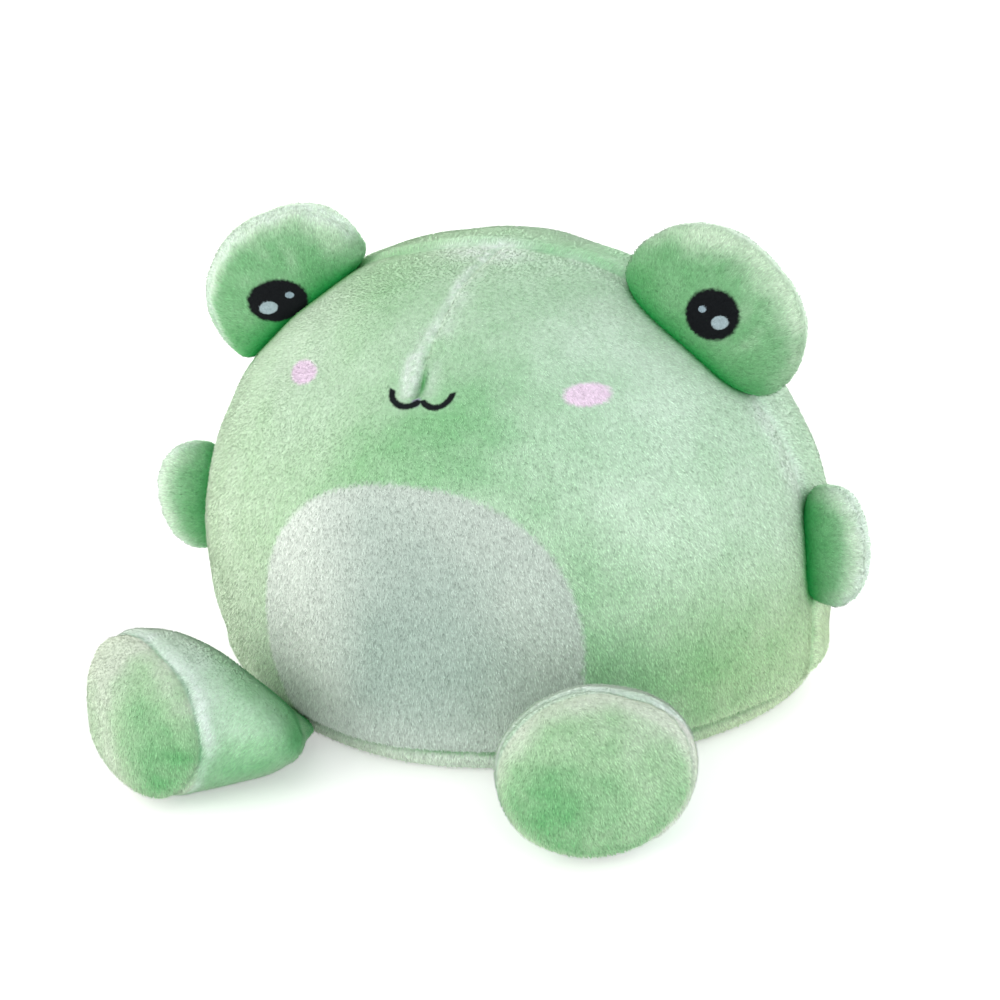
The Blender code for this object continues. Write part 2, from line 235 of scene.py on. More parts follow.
def stuff(piece, sewn, slack, fullness, pressure):
    """Fills the bag: cut smaller by slack, then cloth under pressure that stays held where it is sewn and may
    rise by fullness at most."""
    start = points_of(piece)
    outward = normals_of(piece)
    start = start - outward * np.broadcast_to(slack, len(start))[:, None]
    set_points(piece, start)
    group = piece.vertex_groups.new(name="sewn")
    for i in np.flatnonzero(sewn > 0.02):
        group.add([int(i)], float(min(1, sewn[i])), "REPLACE")
    bag = piece.modifiers.new("stuffing", "CLOTH")
    bag.settings.quality = 8
    bag.settings.mass = 0.003
    bag.settings.tension_stiffness = bag.settings.compression_stiffness = 0.05
    bag.settings.shear_stiffness = 0.017
    bag.settings.tension_damping = bag.settings.compression_damping = 0.02
    bag.settings.use_pressure = True
    bag.settings.uniform_pressure_force = pressure
    bag.settings.effector_weights.gravity = 0
    bag.settings.vertex_group_mass = "sewn"
    bag.point_cache.frame_start = 1
    bag.point_cache.frame_end = CLOTH_STEPS
    for step in range(1, CLOTH_STEPS + 1):
        bpy.context.scene.frame_set(step)
    puffed = piece.evaluated_get(bpy.context.evaluated_depsgraph_get())
    flat = np.empty(len(start) * 3)
    puffed.data.vertices.foreach_get("co", flat)
    moved = flat.reshape(-1, 3) - start
    piece.modifiers.remove(bag)
    piece.vertex_groups.remove(group)
    bpy.context.scene.frame_set(1)
    # Wrinkles finer than thick plush can fold are evened out
    ends = np.array([edge.vertices[:] for edge in piece.data.edges])
    count = np.bincount(ends.ravel(), minlength=len(start))[:, None]
    for _ in range(5):
        around = np.zeros_like(moved)
        np.add.at(around, ends[:, 0], moved[ends[:, 1]])
        np.add.at(around, ends[:, 1], moved[ends[:, 0]])
        moved = 0.5 * moved + 0.5 * around / count
    rise = (moved * outward).sum(1)
    aside = moved - outward * rise[:, None]
    rise = np.clip(fullness * np.tanh(rise / fullness), -MOST_SUNK, None)
    aside *= np.minimum(1, MOST_ASIDE / (np.linalg.norm(aside, axis=1) + 1e-9))[:, None]
    set_points(piece, start + outward * rise[:, None] + aside)


def smooth_once(piece, levels):
    bpy.context.view_layer.objects.active = piece
    soft = piece.modifiers.new("soft", "SUBSURF")
    soft.levels = levels
    soft.render_levels = levels
    bpy.ops.object.modifier_apply(modifier=soft.name)
    piece.data.shade_smooth()


def keep_attribute(piece, name, values):
    kind = "FLOAT" if values.ndim == 1 else "FLOAT_VECTOR"
    layer = piece.data.attributes.get(name) or piece.data.attributes.new(name, kind, "POINT")
    field = "value" if values.ndim == 1 else "vector"
    layer.data.foreach_set(field, np.ascontiguousarray(values, dtype=np.float32).ravel())


def read_attribute(piece, name):
    flat = np.empty(len(piece.data.vertices) * 3, dtype=np.float32)
    piece.data.attributes[name].data.foreach_get("vector", flat)
    return flat.reshape(-1, 3).astype(float)


def keep_cloth_marks(piece, own, parted_sheen, crease, gap, run, tone):
    """What the pile follows: its place on the cloth, its parting painted pale as sheen, its painted crease shade,
    the nearest stitches in millimetres, and its painted light and shade. The cover itself is painted darker, as
    painted shade of cloth that lies deep under its pile."""
    worn = np.stack([np.clip(parted_sheen, 0, 1), np.clip(crease, 0, 1), np.full(len(own), COVER_SHADE)], 1)
    keep_attribute(piece, "cloth_place", own)
    keep_attribute(piece, "worn", worn)
    keep_attribute(piece, "stitched", np.stack([gap * 1000, run * 1000, np.zeros(len(own))], 1))
    keep_attribute(piece, "tone", tone)


def body_form(ball):
    """The squat body from directions on a ball, in its own frame: its floor is z = 0 and it faces -Y."""
    turn = np.arctan2(ball[:, 1], ball[:, 0])
    upper = ball[:, 2] >= 0
    exponent = np.where(upper, 1 / CROWN_ROUNDNESS, 1 / BASE_ROUNDNESS)
    spread = np.hypot(ball[:, 0], ball[:, 1]) ** exponent
    depth = np.where(ball[:, 1] < 0, BODY_FRONT, BODY_BACK)
    tall = np.where(upper, BODY_HEIGHT - WIDEST_HEIGHT, WIDEST_HEIGHT + SAG)
    x = BODY_HALF_WIDTH * spread * power(np.cos(turn), 1 / PLAN_ROUNDNESS)
    y = depth * spread * power(np.sin(turn), 1 / PLAN_ROUNDNESS)
    z = WIDEST_HEIGHT + tall * power(ball[:, 2], exponent)
    return np.stack([x, y, z], 1)


body = unit_ball("body_cover", 31)
form = body_form(points_of(body))
# The stuffed cloth slumps a little over the base seam, unevenly
slump = bell(form[:, 0] - 0.066, 0.026) * bell(form[:, 2] - 0.006, 0.012) * bell(form[:, 1] + 0.012, 0.05)
form[:, 0] += 0.0006 * slump
form[:, 1] -= 0.0024 * bell(form[:, 0] - 0.044, 0.022) * bell(form[:, 2], 0.016) * (form[:, 1] < 0)
form[:, 1] -= 0.0009 * bell(form[:, 0] + 0.006, 0.032) * bell(form[:, 2], 0.014) * (form[:, 1] < 0)
form[:, 0] += 0.0006 * bell(form[:, 0] + 0.082, 0.02) * bell(form[:, 2] - 0.022, 0.018)
form[:, 2] = np.maximum(form[:, 2], 0.0005)
form[:, 1] += body_middle_y
set_points(body, form)
own = form - np.array([0, body_middle_y, 0])
on_seam = bell(own[:, 1] - SEAM_Y, 0.0022) * (own[:, 2] > BASE_SEAM_Z)
on_base = np.where(own[:, 2] < BASE_SEAM_Z, 1, bell(own[:, 2] - BASE_SEAM_Z, 0.0022))
on_dart = bell(own[:, 0] + 0.001, 0.0025) * (own[:, 1] < SEAM_Y) * (own[:, 2] > 0.088)
slack = 0.0009 * ramp(own[:, 2], 0.002, 0.016)
sewn = np.maximum(np.maximum(on_seam * 0.5, on_base), on_dart * 0.8)
stuff(body, sewn, slack, fullness=0.0015, pressure=4)
smooth_once(body, 2)


def dart_offset(own):
    """How far to the +X side of the dart's stitches a place is."""
    bend = np.maximum(0, (own[:, 2] - 0.102) / 0.0103)
    lean = 0.0008 * ramp(own[:, 2], 0.093, 0.101)
    return own[:, 0] + 0.0021 - lean - 0.0042 * bend**2 + 0.0003 * np.sin(own[:, 2] * 400)


def seam_offset(own):
    """How far behind the seam of the front and back panels a place is."""
    return own[:, 1] - SEAM_Y - 0.0010 * np.sin(own[:, 0] * 70)


def dart_extent(own):
    """1 along the dart, from the mouth up to the crown seam."""
    return np.where(own[:, 1] < SEAM_Y + 0.002, ramp(own[:, 2], 0.0868, 0.0885), 0)


# The mesh is drawn closer together at the sewn lines, so that the grooves hold their shape
place = points_of(body)
own = place - np.array([0, body_middle_y, 0])
gap = seam_offset(own)
place[:, 1] -= 0.5 * gap * bell(gap, 0.0045) * ramp(own[:, 2], BASE_SEAM_Z, 0.012)
gap = dart_offset(own)
place[:, 0] -= 0.5 * gap * bell(gap, 0.0045) * dart_extent(own)
set_points(body, place)
outward = normals_of(body)
own = place - np.array([0, body_middle_y, 0])
front = own[:, 1] < SEAM_Y
seam_gap, dart_gap = seam_offset(own), dart_offset(own)
base_gap = own[:, 2] - BASE_SEAM_Z - 0.0006 * np.sin(own[:, 0] * 90)
above_base = ramp(own[:, 2], BASE_SEAM_Z, BASE_SEAM_Z + 0.004)
dart_reach = dart_extent(own)

# Grooves at the stitches, puckered, with the cloth puffed up beside them, and slow waves between
puckers = 0.5 + 0.5 * np.sin(own[:, 2] * 2 * math.pi / 0.0052 + 1.7 * np.sin(own[:, 2] * 310))
deeper = 1 + 0.5 * bell(own[:, 2] - 0.090, 0.006)
dent = 0.0002 * bell(seam_gap, 0.0010) * above_base * (0.7 + 0.6 * puckers)
dent += 0.0017 * bell(base_gap, 0.0011)
dart_dent = 0.0007 * bell(dart_gap, 0.0008) * (0.6 + 0.8 * puckers) + 0.0004 * bell(dart_gap, 0.0050)
dent += dart_dent * deeper * dart_reach
dent += 0.0006 * bell(dart_gap - 0.0006, 0.0015) * bell(own[:, 2] - 0.0900, 0.0026) * front
puff = 0.0002 * bell(np.abs(seam_gap) - 0.0040, 0.0028) * ramp(own[:, 2], BASE_SEAM_Z, 0.017)
puff += 0.0008 * bell(base_gap - 0.0040, 0.0030)
waves = bumps(own, 38) * 0.0008 + bumps(own, 95, 3) * 0.0003
waves *= ramp(own[:, 2], 0.001, 0.012)
place = place + outward * (puff - dent + waves)[:, None]
place[:, 2] = np.maximum(place[:, 2], 0.0003)
set_points(body, place)

# Where stitches part the pile it is painted pale as sheen; in the deepest creases painted shade turns it deep green
seam_pale = 0.15 + 0.4 * bell(own[:, 0] - 0.0005, 0.014) + 0.7 * bell(own[:, 2] - 0.066, 0.022)
seam_pale += 0.8 * bumps(own, 90, 6)
seam_pale *= bell(seam_gap + 0.0015, 0.0036) * ramp(own[:, 2], 0.010, 0.03)
high = ramp(own[:, 2], 0.095, 0.103)
band = dart_gap + 0.0021 - 0.0017 * high + 0.0012 * bumps(own, 240, 14)
dart_pale = 1.1 * bell(band, 0.0020 - 0.0005 * high) * (0.75 + 0.9 * bumps(own, 130, 9)) * dart_reach
dart_pale += 0.35 * bell(dart_gap - 0.0026, 0.0022) * (0.6 + 1.4 * bumps(own, 160, 19)) * dart_reach
crown_pale = 0.8 * bell(own[:, 0] - 0.003, 0.009) * bell(own[:, 1] - SEAM_Y + 0.004, 0.0060)
dart_pale += crown_pale * (own[:, 2] > 0.09) * (0.8 + 1.2 * bumps(own, 110, 29))
dart_pale += 0.9 * bell(dart_gap + 0.0024, 0.0019) * bell(own[:, 2] - 0.0912, 0.0042) * front
parted_sheen = seam_pale + dart_pale + 0.5 * bell(base_gap - 0.0012, 0.0014) * (0.6 + 0.5 * bumps(own, 120, 4))
parted_sheen += 0.9 * (own[:, 2] < BASE_SEAM_Z - 0.0005) * (1 - ramp(own[:, 0], 0.01, 0.05))
crease = 0.95 * bell(dart_gap - 0.0010, 0.0013) * bell(own[:, 2] - 0.0905, 0.0032) * front
crease += 0.8 * bell(base_gap, 0.0008)
lines = np.stack([np.where(above_base > 0.5, seam_gap, 1), np.where(dart_reach > 0.2, dart_gap, 1), base_gap])
nearest = np.abs(lines).argmin(0)
gap = lines[nearest, np.arange(len(own))]

# Painted light and shade in patches over the front, deeper (below 0) or paler (above 0): the
# middle of each, its reach both ways and how much
tone = np.zeros(len(own))
for x, z, reach_x, reach_z, amount in (
    (0.048, 0.029, 0.022, 0.015, -0.5),
    (0.004, 0.0835, 0.007, 0.004, -0.2),
    (-0.010, 0.078, 0.046, 0.012, -0.3),
    (0.052, 0.090, 0.014, 0.012, 0.7),
    (0.068, 0.018, 0.016, 0.012, -0.4),
    (0.003, 0.079, 0.012, 0.012, -0.45),
    (0.013, 0.094, 0.008, 0.010, -0.2),
    (-0.026, 0.109, 0.014, 0.006, -0.7),
    (0.010, 0.109, 0.008, 0.005, 0.1),
    (0.036, 0.100, 0.012, 0.008, 0.8),
    (-0.020, 0.104, 0.010, 0.006, -0.4),
    (-0.050, 0.018, 0.022, 0.020, 1.2),
    (0.040, 0.052, 0.014, 0.012, -0.5),
    (0.060, 0.066, 0.024, 0.026, 0.8),
    (-0.036, 0.090, 0.020, 0.016, 0.8),
    (-0.054, 0.050, 0.012, 0.026, 0.25),
    (-0.078, 0.050, 0.014, 0.040, 0.9),
    (0.080, 0.055, 0.010, 0.030, 0.5),
):
    tone += amount * bell(own[:, 0] - x, reach_x) * bell(own[:, 2] - z, reach_z) * front
# Painted shade darkens the back of the crown, and painted light pales the back towards +X and the base
tone -= 0.5 * ramp(own[:, 2], 0.094, 0.112) * ~front
tone += 0.5 * ramp(own[:, 0], 0.05, 0.072) * ~front
tone += 0.9 * (own[:, 2] < BASE_SEAM_Z - 0.0005)
keep_cloth_marks(body, own, parted_sheen, crease, gap, np.where(nearest == 2, own[:, 0], own[:, 2]), tone)


def mix(tree, share, first, second, blend="MIX"):
    settings = {"data_type": "RGBA", "blend_type": blend, "clamp_factor": True}
    node = add_node(tree, "ShaderNodeMix", settings, {0: share, 6: first, 7: second})
    return node.outputs[2]


def arithmetic(tree, operation, *values):
    return add_node(tree, "ShaderNodeMath", {"operation": operation}, dict(enumerate(values))).outputs[0]


def grain(tree, place_out, scale, detail=2.0):
    settings = {"Vector": place_out, "Scale": scale, "Detail": detail, "Roughness": 0.6}
    return add_node(tree, "ShaderNodeTexNoise", None, settings).outputs["Fac"]


def within(tree, value, edge, softness):
    """1 where value is below edge, falling to 0 over softness on either side."""
    span = {"From Min": edge - softness, "From Max": edge + softness, "To Min": 1.0, "To Max": 0.0}
    settings = {"interpolation_type": "SMOOTHSTEP"}
    return add_node(tree, "ShaderNodeMapRange", settings, {"Value": value, **span}).outputs[0]


def oval(tree, x, z, middle, radii, exponent=2.0, slope=0.0):
    """Distance from the middle of an oval, 1 on its edge; slope tilts its long axis."""
    off_x = arithmetic(tree, "SUBTRACT", x, middle[0])
    off_z = arithmetic(tree, "SUBTRACT", z, middle[1])
    off_z = arithmetic(tree, "MULTIPLY_ADD", off_x, -slope, off_z)
    parts = []
    for off, radius in ((off_x, radii[0]), (off_z, radii[1])):
        share = arithmetic(tree, "ABSOLUTE", arithmetic(tree, "DIVIDE", off, radius))
        parts.append(arithmetic(tree, "POWER", share, exponent))
    return arithmetic(tree, "POWER", arithmetic(tree, "ADD", *parts), 1 / exponent)


def axes(tree, place_out):
    split = add_node(tree, "ShaderNodeSeparateXYZ", None, {0: place_out})
    return split.outputs[0], split.outputs[1], split.outputs[2]


def plush(name, pale, middle, deep, prints=None):
    """Short-pile polyester plush: soft matt fibres with a pale sheen, partly painted, where they are seen edge-on,
    random patches with painted light and shade, painted pale sheen where a seam parts the pile and painted deep
    green shade down in a crease."""
    material = bpy.data.materials.new(name)
    material.use_nodes = True
    tree = material.node_tree
    surface = tree.nodes["Principled BSDF"]
    place_out = add_node(tree, "ShaderNodeAttribute", {"attribute_name": "cloth_place"}).outputs["Vector"]
    sheen_shade_tone_out = add_node(tree, "ShaderNodeAttribute", {"attribute_name": "worn"}).outputs["Vector"]
    stitched_out = add_node(tree, "ShaderNodeAttribute", {"attribute_name": "stitched"}).outputs["Vector"]
    painted_light_out = add_node(tree, "ShaderNodeAttribute", {"attribute_name": "tone"}).outputs["Fac"]
    parted_sheen_out, crease_out, shade_out = axes(tree, sheen_shade_tone_out)
    gap_out, run_out, tip_out = axes(tree, stitched_out)

    # Random patchy tone, with the painted light and shade added in patches
    nap_and_light = arithmetic(tree, "MULTIPLY_ADD", grain(tree, place_out, 150.0), 0.5, grain(tree, place_out, 34.0))
    nap_and_light = arithmetic(tree, "MULTIPLY_ADD", arithmetic(tree, "SUBTRACT", nap_and_light, 0.75), 1.8, painted_light_out)
    colour = mix(tree, nap_and_light, linear_colour(middle), linear_colour(pale))
    colour = mix(tree, arithmetic(tree, "MULTIPLY", nap_and_light, -1.0), colour, linear_colour(deep))

    # Seams painted pale as sheen, painted sheen where seen edge-on and painted deep green shade in creases
    sheen_patchiness = arithmetic(tree, "MULTIPLY_ADD", grain(tree, place_out, 620.0), 1.7, 0.05)
    parted_sheen_out = arithmetic(tree, "MULTIPLY", parted_sheen_out, sheen_patchiness)
    colour = mix(tree, arithmetic(tree, "MULTIPLY", parted_sheen_out, 0.85), colour, linear_colour("E2F0EA"))
    edge_on = add_node(tree, "ShaderNodeLayerWeight", None, {"Blend": 0.5}).outputs["Facing"]
    edge_on = arithmetic(tree, "MULTIPLY", arithmetic(tree, "POWER", edge_on, 2.0), 0.5)
    colour = mix(tree, edge_on, colour, linear_colour("DCEFDA"))
    colour = mix(tree, crease_out, colour, linear_colour("0F883C"))
    if prints:
        colour = prints(tree, place_out, colour)

    # The thread of the stitches, glimpsed between the tufts
    dashes = arithmetic(tree, "SINE", arithmetic(tree, "MULTIPLY", run_out, 2.6))
    dashes = arithmetic(tree, "MULTIPLY_ADD", dashes, 0.10, 0.14)
    thread = within(tree, arithmetic(tree, "ABSOLUTE", gap_out), 0.30, 0.12)
    colour = mix(tree, arithmetic(tree, "MULTIPLY", thread, dashes), colour, linear_colour("4E8F66"))

    # Each tuft has its own shade, with painted shade darker at its foot, and none is so pale that it glints
    shade = arithmetic(tree, "MINIMUM", arithmetic(tree, "MULTIPLY_ADD", shade_out, 0.86, 0.55), 1.20)
    speckle = arithmetic(tree, "MULTIPLY_ADD", grain(tree, place_out, 1200.0), 0.80, 0.72)
    shade = arithmetic(tree, "MULTIPLY", shade, speckle)
    shade = arithmetic(tree, "MULTIPLY", shade, arithmetic(tree, "MULTIPLY_ADD", tip_out, 0.32, 0.84))
    shade = arithmetic(tree, "MINIMUM", shade, 1.32)
    grey = add_node(tree, "ShaderNodeCombineColor", None, {0: shade, 1: shade, 2: shade}).outputs[0]
    tree.links.new(mix(tree, 1.0, colour, grey, "MULTIPLY"), surface.inputs["Base Color"])
    tree.links.new(mix(tree, 1.0, colour, (1.43, 1.40, 1.40, 1), "MULTIPLY"), surface.inputs["Sheen Tint"])
    surface.inputs["Roughness"].default_value = 0.8
    surface.inputs["Specular IOR Level"].default_value = 0.15
    surface.inputs["Sheen Weight"].default_value = 1.0
    surface.inputs["Sheen Roughness"].default_value = 0.5
    return material


def body_prints(tree, place_out, colour):
    """The belly, cheeks and mouth, fuzzy at their edges, on a cloth that is warmer at one side and low down."""
    x, y, z = axes(tree, place_out)
    fuzz = arithmetic(tree, "SUBTRACT", grain(tree, place_out, 1100.0, 1.0), 0.5)
    on_front = within(tree, y, SEAM_Y, 0.0003)
    warm = arithmetic(tree, "MULTIPLY", within(tree, x, 0.0, 0.05), 0.12)
    colour = mix(tree, warm, colour, linear_colour("DDE6B0"))
    low = within(tree, z, 0.065, 0.030)
    colour = mix(tree, low, colour, (1.0, 0.985, 0.95, 1), "MULTIPLY")
    beyond = within(tree, arithmetic(tree, "MULTIPLY", x, -1.0), -0.055, 0.015)
    low = arithmetic(tree, "MULTIPLY", within(tree, z, 0.035, 0.020), beyond)
    colour = mix(tree, low, colour, (0.98, 0.95, 0.84, 1), "MULTIPLY")

    # Belly, with painted shade over its middle among random patches, and painted light low down and on its -X side
    above = arithmetic(tree, "GREATER_THAN", z, BASE_SEAM_Z)
    belly = oval(tree, x, z, (-0.0002, 0.0320), (0.0406, 0.0386), 2.2)
    belly = within(tree, arithmetic(tree, "MULTIPLY_ADD", fuzz, 0.05, belly), 1.0, 0.022)
    belly = arithmetic(tree, "MULTIPLY", arithmetic(tree, "MULTIPLY", belly, on_front), above)
    painted_nap_shading = within(tree, oval(tree, x, z, (0.004, 0.027), (0.022, 0.036)), 0.85, 0.45)
    patchy = arithmetic(tree, "SUBTRACT", grain(tree, place_out, 60.0), 0.5)
    painted_nap_shading = arithmetic(tree, "MULTIPLY_ADD", patchy, 0.9, painted_nap_shading)
    pale = mix(tree, painted_nap_shading, linear_colour("C2CFC6"), linear_colour("A8BBB1"))
    bottom = arithmetic(tree, "MULTIPLY", within(tree, z, 0.014, 0.012), 0.55)
    bright = arithmetic(tree, "MAXIMUM", within(tree, x, -0.020, 0.014), bottom)
    pale = mix(tree, arithmetic(tree, "MULTIPLY", bright, 0.85), pale, linear_colour("E6EEE6"))
    colour = mix(tree, belly, colour, pale)

    # Cheeks
    for middle, radii, slope in (
        ((-0.0358, 0.0877), (0.0045, 0.0022), 0.09),
        ((0.0362, 0.0873), (0.0048, 0.0021), -0.10),
    ):
        cheek = oval(tree, x, z, middle, radii, 2.0, slope)
        cheek = within(tree, arithmetic(tree, "MULTIPLY_ADD", fuzz, 0.3, cheek), 1.0, 0.2)
        colour = mix(tree, arithmetic(tree, "MULTIPLY", cheek, on_front), colour, linear_colour("F0DCF0"))

    # Mouth: two arcs that hang from a faded spot under the dart
    faded = within(tree, oval(tree, x, z, (-0.0010, 0.0868), (0.0013, 0.0011)), 0.8, 0.5)
    colour = mix(tree, arithmetic(tree, "MULTIPLY", faded, on_front), colour, linear_colour("9C9BB4"))
    limit = arithmetic(tree, "MULTIPLY_ADD", arithmetic(tree, "ABSOLUTE", x), 0.22, 0.0871)
    hanging = within(tree, arithmetic(tree, "SUBTRACT", z, limit), 0.0, 0.0002)
    arcs = []
    for middle, radii in (((-0.0037, 0.0889), (0.0043, 0.0031)), ((0.0035, 0.0888), (0.0037, 0.0030))):
        arc = oval(tree, x, z, middle, radii)
        arc = arithmetic(tree, "ABSOLUTE", arithmetic(tree, "SUBTRACT", arc, 1.0))
        arc = within(tree, arithmetic(tree, "MULTIPLY_ADD", fuzz, 0.12, arc), 0.20, 0.08)
        arcs.append(arithmetic(tree, "MULTIPLY", arc, hanging))
    ink = arithmetic(tree, "MAXIMUM", *arcs)
    return mix(tree, arithmetic(tree, "MULTIPLY", ink, on_front), colour, linear_colour("12181B"))


body.data.materials.append(plush("body_plush", "CBE5D1", "AED3B4", "80BE8A", body_prints))
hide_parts("body_front_panel", "body_back_panel", "body_base_panel", "body_filling")


# Eye lobes: each is two D-shaped panels sewn round the curved edge, turned and stuffed, with its straight
# side caught in the crown seam. The stuffing bulges forward over the seam. The pupils are printed.

EYE_LEAN_OUT = math.radians(39)
EYE_LEAN_FORWARD = math.radians(9)
hinges = {joint["name"]: joint for joint in frame["joints"]}


def flap_form(ball, half_width, reach, half_thickness, waist, root_radius, hang, narrow):
    """A stuffed D in its own frame: X along the root, -Y to the front, Z outward. narrow scales the -X half."""
    turn = np.arctan2(ball[:, 2], ball[:, 0])
    share = np.clip(np.hypot(ball[:, 0], ball[:, 2]), 0, 1)
    x = half_width * power(np.cos(turn), 1 / 1.05)
    x = np.where(x < 0, x * narrow, x)
    fall = (waist + x * x / (2 * root_radius)) * np.abs(np.sin(turn)) ** 0.5
    sunk = 0.0030 * np.abs(np.sin(turn))
    edge = np.where(ball[:, 2] >= 0, (reach - waist) * np.abs(np.sin(turn)) ** (1 / 1.05), -fall - sunk)
    z = waist + share * edge
    bulge = np.clip(-ball[:, 1], 0, 1) * bell(z - waist * 0.6, reach * 0.5)
    return np.stack([share * x, half_thickness * power(ball[:, 1], 1.03) - hang * 0.5 * bulge, z - hang * bulge], 1)


def to_world(place_matrix, points):
    matrix = np.array(place_matrix)
    return points @ matrix[:3, :3].T + matrix[:3, 3]


def sewn_flap(name, place_matrix, size, material, pale_width, seam_y, painted_nap_shading, seed):
    """A stuffed flap. size is half width, reach, half thickness, waist, root radius, hang and narrowing, and
    seam_y is where its curved seam runs at the -X and the +X end. The argument after seam_y gives its painted
    sheen: the share of its reach where the pile is painted pale, at the tip and at the sides, and how much more
    so towards +X, or towards -X if below 0."""
    half_width, reach, waist = size[0], size[1], size[3]
    ends = (-half_width, half_width)
    cover = unit_ball(name, 13)
    form = flap_form(points_of(cover), *size)
    set_points(cover, form)
    turn_out(cover)
    rim = 0.8 * bell(form[:, 1] - np.interp(form[:, 0], ends, seam_y), 0.0016) * (form[:, 2] > waist * 0.4)
    root = 1 - ramp(form[:, 2], waist * 0.1, waist * 0.5)
    stuff(cover, np.maximum(rim, root), slack=0.0007, fullness=0.0012, pressure=24)
    smooth_once(cover, 2)
    own = points_of(cover)
    outward = normals_of(cover)
    arc = np.arctan2(own[:, 2] - waist, own[:, 0])
    gap = own[:, 1] - np.interp(own[:, 0], ends, seam_y) - 0.0003 * np.sin(arc * 13)
    beyond = ramp(own[:, 2], waist * 0.4, waist * 1.2)
    pucker = 0.5 + 0.5 * np.sin(arc * 34 + 1.3 * np.sin(arc * 11))
    lift = 0.0003 * bell(np.abs(gap) - 0.0030, 0.0016) * beyond
    lift -= 0.0005 * bell(gap, 0.0008) * beyond * (0.7 + 0.6 * pucker)
    own = own + outward * (lift + bumps(own, 70, seed) * 0.0005)[:, None]
    # The pile parted along the seam is painted pale there as sheen
    parted_sheen = 0.9 * bell(np.abs(gap) - 0.0008, pale_width) * beyond * (0.75 + 0.4 * bumps(own, 200, seed))
    set_points(cover, to_world(place_matrix, own))
    outer = np.hypot(own[:, 0] / half_width, own[:, 2] / reach)
    # Painted sheen pales the tip, the rim and one side; painted shade deepens the flap towards its root, most at
    # the root
    tone = 0.55 * ramp(own[:, 2] / reach, painted_nap_shading[0], 1.0) + 0.6 * ramp(outer, painted_nap_shading[1], 1.03)
    tone -= 0.35 * bell(own[:, 2] - 0.004, 0.006)
    tone += abs(painted_nap_shading[2]) * ramp(math.copysign(1, painted_nap_shading[2]) * own[:, 0] / half_width, 0.5, 0.95)
    no_thread = np.ones(len(own))
    keep_cloth_marks(cover, own, parted_sheen, 0.6 * bell(own[:, 2], 0.0045), no_thread, arc, tone)
    cover.data.materials.append(material)
    return cover


def spots_on(pupil, glint, spark):
    def draw(tree, place_out, colour):
        x, y, z = axes(tree, place_out)
        fuzz = arithmetic(tree, "SUBTRACT", grain(tree, place_out, 1100.0, 1.0), 0.5)
        on_front = within(tree, y, 0.0, 0.0003)
        for (middle, radii, slope), ink in ((pupil, "080C10"), (glint, "9DB0B6"), (spark, "8EA2AC")):
            spot = oval(tree, x, z, middle, radii, 2.0, slope)
            spot = within(tree, arithmetic(tree, "MULTIPLY_ADD", fuzz, 0.16, spot), 1.0, 0.08)
            colour = mix(tree, arithmetic(tree, "MULTIPLY", spot, on_front), colour, linear_colour(ink))
        return colour

    return draw


EYE_HALF_THICKNESS = 0.0096
EYE_WAIST = 0.0045
EYE_HANG = 0.0030
CROWN_RADIUS = 0.0825

# Pupil, large glint and small glint: the middle, the radii and the slope of each
eye_spots = {
    "left": (
        ((0.0014, 0.0106), (0.0063, 0.0061), 0.02),
        ((0.0039, 0.0104), (0.0018, 0.0018), 0.17),
        ((-0.0012, 0.0103), (0.0009, 0.0008), 0.07),
    ),
    "right": (
        ((0.0018, 0.0046), (0.0079, 0.0058), -0.27),
        ((-0.0013, 0.0048), (0.0025, 0.0017), -0.29),
        ((0.0056, 0.0037), (0.0011, 0.0009), -0.3),
    ),
}
# Half width, reach, narrowing, seam and painted sheen, as sewn_flap takes them
eye_shapes = {
    "left": (0.0252, 0.0270, 0.92, (0.001, 0.003), (0.45, 0.76, -0.25)),
    "right": (0.0267, 0.0250, 0.89, (-0.004, -0.0012), (0.55, 0.70, 0.6)),
}
eye_covers = {}
for side, word in ((1, "left"), (-1, "right")):
    turned = Matrix.Rotation(side * EYE_LEAN_OUT, 4, "Y") @ Matrix.Rotation(EYE_LEAN_FORWARD, 4, "X")
    spot = Matrix.Translation(hinges[word + "_eye_fold"]["pos_m"]) @ turned
    half_width, reach, narrow, seam_y, painted_nap_shading = eye_shapes[word]
    size = (half_width, reach, EYE_HALF_THICKNESS, EYE_WAIST, CROWN_RADIUS, EYE_HANG, narrow)
    material = plush(word + "_eye_plush", "C6E0C4", "7AB080", "4C9B59", spots_on(*eye_spots[word]))
    cover = sewn_flap(word + "_eye_cover", spot, size, material, 0.0014, seam_y, painted_nap_shading, 20 + side)
    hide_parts(*(f"{word}_eye_{part}" for part in ("front_panel", "back_panel", "filling")))
    eye_covers[word] = (cover, spot)


# Arms: small stuffed D-shaped flaps, sewn like the eye lobes and caught upright in the side seams. They
# stand out to the sides and curl a little forward.

ARM_SWEEP = math.radians(17)
ARM_HALF_WIDTH = 0.0158
ARM_HALF_THICKNESS = 0.0066
ARM_WAIST = 0.0060
ARM_HANG = 0.0008
SIDE_RADIUS = 0.0568

arm_plush = plush("arm_plush", "CCE3CB", "86B88C", "4F9E5C")
